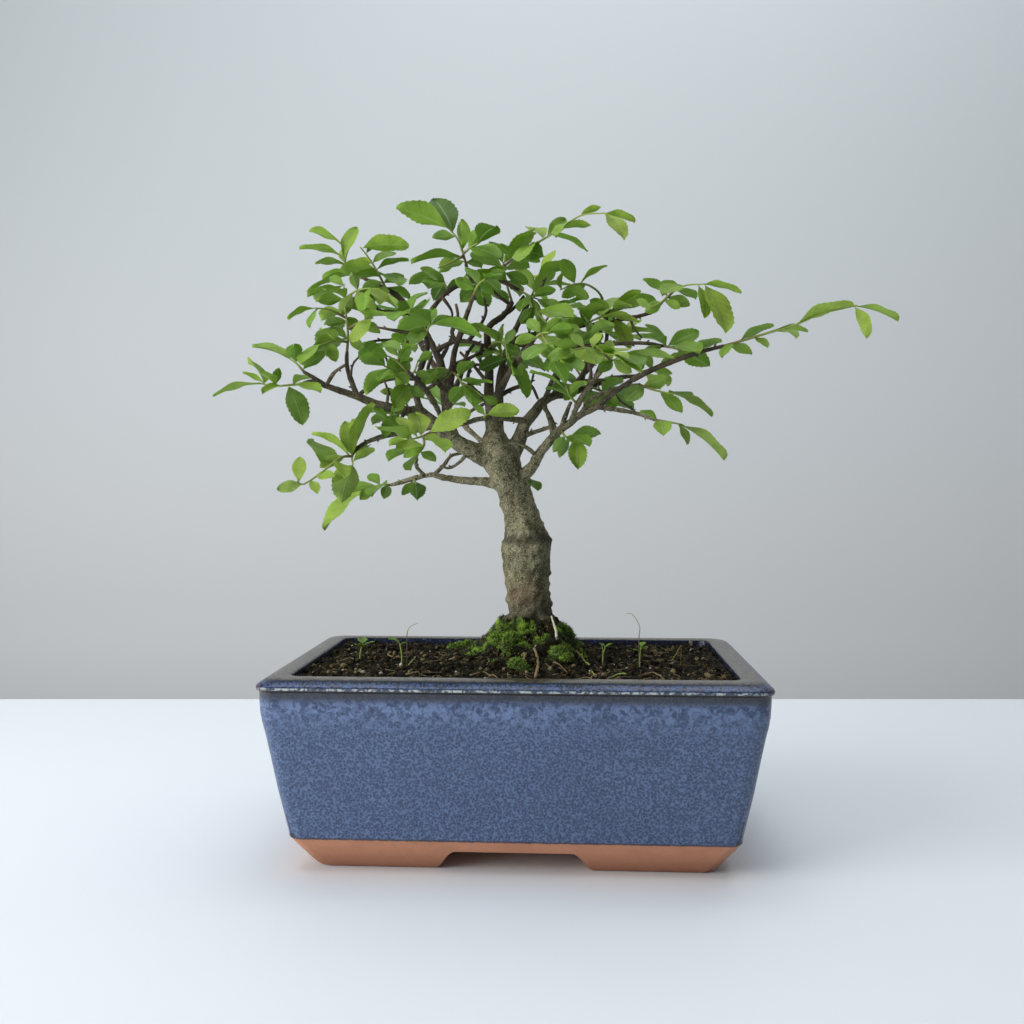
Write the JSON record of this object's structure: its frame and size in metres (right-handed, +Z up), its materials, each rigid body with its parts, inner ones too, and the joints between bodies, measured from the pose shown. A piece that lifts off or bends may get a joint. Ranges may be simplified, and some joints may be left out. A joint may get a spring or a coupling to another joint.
{
  "type": "chinese elm bonsai",
  "caption": "Small elm tree with a leaning trunk, spreading twigs and toothed leaves, growing in a rectangular blue glazed pot with an unglazed clay foot.",
  "frame": {"origin": "the middle of the whole part's box, seen from above, on the surface that the pot stands on", "axes": "+Z up; the pot's long side runs along X; +Y points away from the side that is looked at, to the back"},
  "size_m": [0.2856, 0.1584, 0.283],
  "materials": {
    "glazed_pot": "gloss",
    "drain_mesh": "matte",
    "soil": "matte",
    "bark": "matte",
    "moss": "matte",
    "seedling": "satin",
    "leaf": "satin"
  },
  "bodies": {
    "root": {"drain_screen_left": "drain_mesh", "drain_screen_right": "drain_mesh", "leaves_arch_left": "leaf", "leaves_arch_right": "leaf", "leaves_arch_under": "leaf", "leaves_back_fork": "leaf", "leaves_back_low": "leaf", "leaves_back_middle": "leaf", "leaves_back_right": "leaf", "leaves_back_side": "leaf", "leaves_back_top": "leaf", "leaves_behind_trunk": "leaf", "leaves_front_leaf": "leaf", "leaves_front_left": "leaf", "leaves_front_right": "leaf", "leaves_front_right_low": "leaf", "leaves_front_stem": "leaf", "leaves_inner_low": "leaf", "leaves_left_back": "leaf", "leaves_left_back_side": "leaf", "leaves_left_cluster": "leaf", "leaves_left_fork": "leaf", "leaves_left_inner": "leaf", "leaves_left_low": "leaf", "leaves_left_over": "leaf", "leaves_left_rise": "leaf", "leaves_left_tip": "leaf", "leaves_long_shoot": "leaf", "leaves_low_right": "leaf", "leaves_lower_left_drop": "leaf", "leaves_lower_left_tip": "leaf", "leaves_middle_dark": "leaf", "leaves_middle_right": "leaf", "leaves_right_end": "leaf", "leaves_right_hanging": "leaf", "leaves_right_leafy": "leaf", "leaves_right_serrated": "leaf", "leaves_right_shoot": "leaf", "leaves_right_top": "leaf", "leaves_right_twig": "leaf", "leaves_right_upper": "leaf", "leaves_stem_inner": "leaf", "leaves_top_left": "leaf", "leaves_top_left_inner": "leaf", "leaves_top_middle": "leaf", "leaves_top_right": "leaf", "leaves_under_right": "leaf", "moss_back": "moss", "moss_collar": "moss", "moss_front": "moss", "moss_left": "moss", "moss_right": "moss", "moss_shoulder": "moss", "pot": "glazed_pot", "seedling_left": "seedling", "seedling_middle": "seedling", "seedling_right": "seedling", "seedling_thin": "seedling", "soil": "soil", "trunk_and_branches": "bark"}
  },
  "joints": []
}
